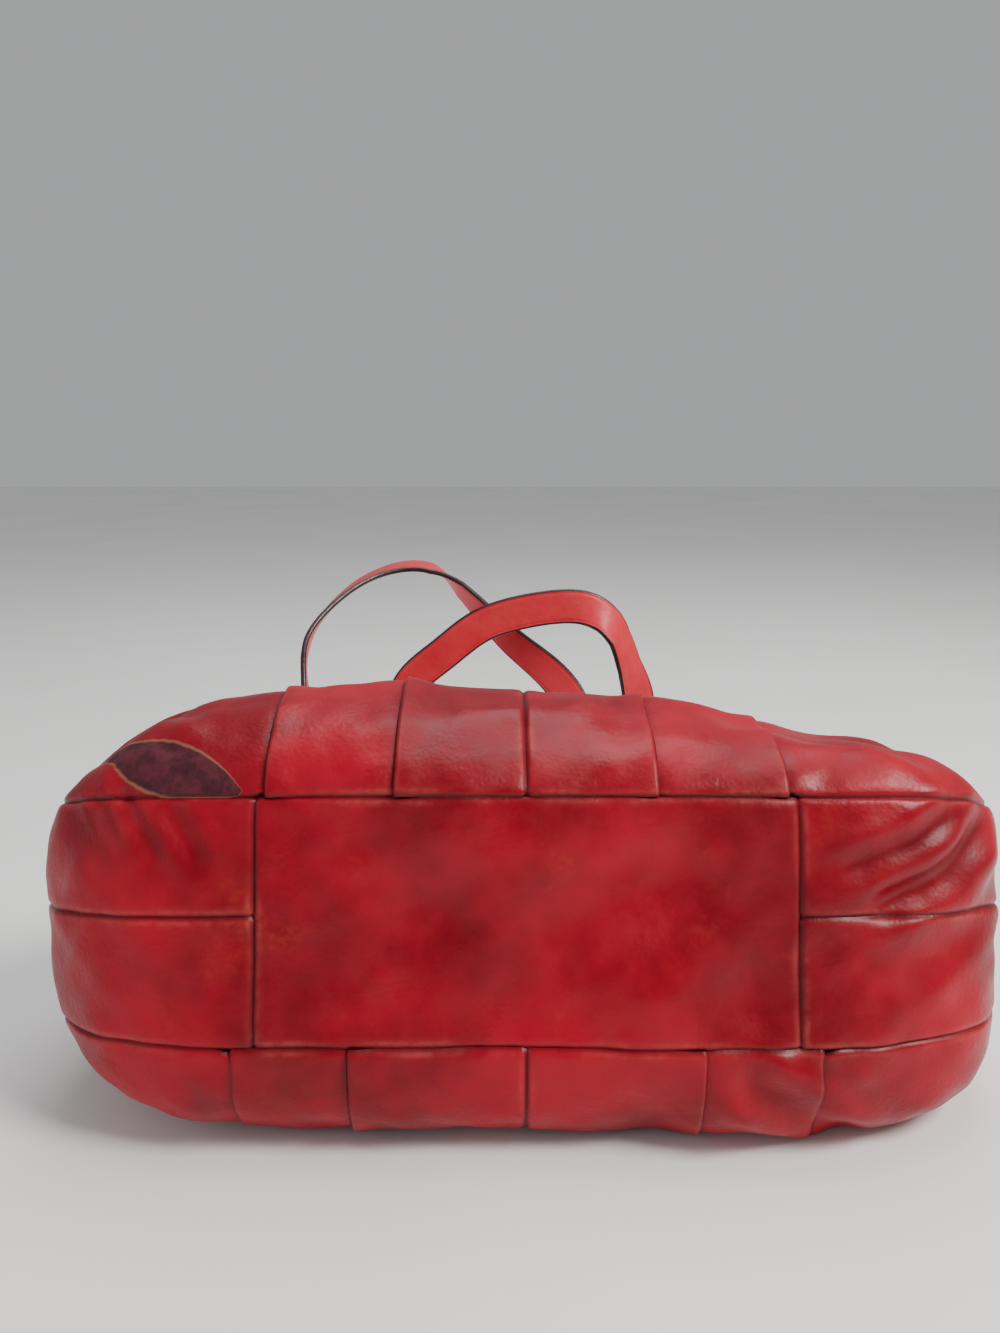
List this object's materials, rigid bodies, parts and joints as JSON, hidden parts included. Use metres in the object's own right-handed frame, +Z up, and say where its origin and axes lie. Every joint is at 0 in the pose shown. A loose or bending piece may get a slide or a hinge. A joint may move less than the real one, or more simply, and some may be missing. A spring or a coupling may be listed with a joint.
{
  "type": "leather tote handbag",
  "caption": "Slouchy pleated leather tote lying on its back face, flat seamed base, open mouth and carry handles on hinged rectangular rings.",
  "frame": {"origin": "centre of the footprint of the whole bag, on the table it lies on", "axes": "+Z up from the table, +X across the bag to the right seen from the base, +Y from the base towards the mouth"},
  "size_m": [0.4326, 0.4668, 0.2015],
  "materials": {
    "bag_leather": "soft pebbled leather, semi-gloss, worn",
    "handle_leather": "smooth strap leather with dark painted edges",
    "strap_leather": "smooth strap leather with dark painted edges",
    "facing_leather": "matt leather",
    "lining": "dark woven cotton",
    "board": "stiff board",
    "ring_metal": "antique brass, lightly scratched",
    "rivet_metal": "antique brass"
  },
  "bodies": {
    "bag": {"base_panel": "bag_leather", "gusset_left_front": "bag_leather", "gusset_left_back": "bag_leather", "gusset_right_front": "bag_leather", "gusset_right_back": "bag_leather", "front_centre_left": "bag_leather", "front_centre_right": "bag_leather", "front_side_left": "bag_leather", "front_side_right": "bag_leather", "front_outer_left": "bag_leather", "front_outer_right": "bag_leather", "back_centre_left": "bag_leather", "back_centre_right": "bag_leather", "back_side_left": "bag_leather", "back_side_right": "bag_leather", "back_outer_left": "bag_leather", "back_outer_right": "bag_leather", "facing_front": "facing_leather", "facing_back": "facing_leather", "lining": "lining", "base_board": "board", "tab_front_left": "strap_leather", "tab_front_right": "strap_leather", "tab_back_left": "strap_leather", "tab_back_right": "strap_leather", "tab_rivets_front": "rivet_metal", "tab_rivets_back": "rivet_metal"},
    "front_rings": {"ring_front_left": "ring_metal", "ring_front_right": "ring_metal"},
    "front_handle": {"handle_front_outer": "handle_leather", "handle_front_inner": "handle_leather", "chape_front_left": "strap_leather", "chape_front_right": "strap_leather", "handle_rivets_front": "rivet_metal"},
    "back_rings": {"ring_back_left": "ring_metal", "ring_back_right": "ring_metal"},
    "back_handle": {"handle_back_outer": "handle_leather", "handle_back_inner": "handle_leather", "chape_back_left": "strap_leather", "chape_back_right": "strap_leather", "handle_rivets_back": "rivet_metal"}
  },
  "joints": [
    {"name": "front_rings_hinge", "type": "hinge", "parent": "bag", "child": "front_rings", "pos_m": [0, 0.04555, 0.05896], "axis": [1, 0, 0], "range_deg": [0, 40]},
    {"name": "front_handle_hinge", "type": "hinge", "parent": "front_rings", "child": "front_handle", "pos_m": [0, 0.06305, 0.05896], "axis": [1, 0, 0], "range_deg": [0, 50]},
    {"name": "back_rings_hinge", "type": "hinge", "parent": "bag", "child": "back_rings", "pos_m": [0, 0.04555, 0.00804], "axis": [1, 0, 0], "range_deg": [-10, 0]},
    {"name": "back_handle_hinge", "type": "hinge", "parent": "back_rings", "child": "back_handle", "pos_m": [0, 0.06199, 0.01402], "axis": [1, 0, 0], "range_deg": [-15, 0]}
  ]
}
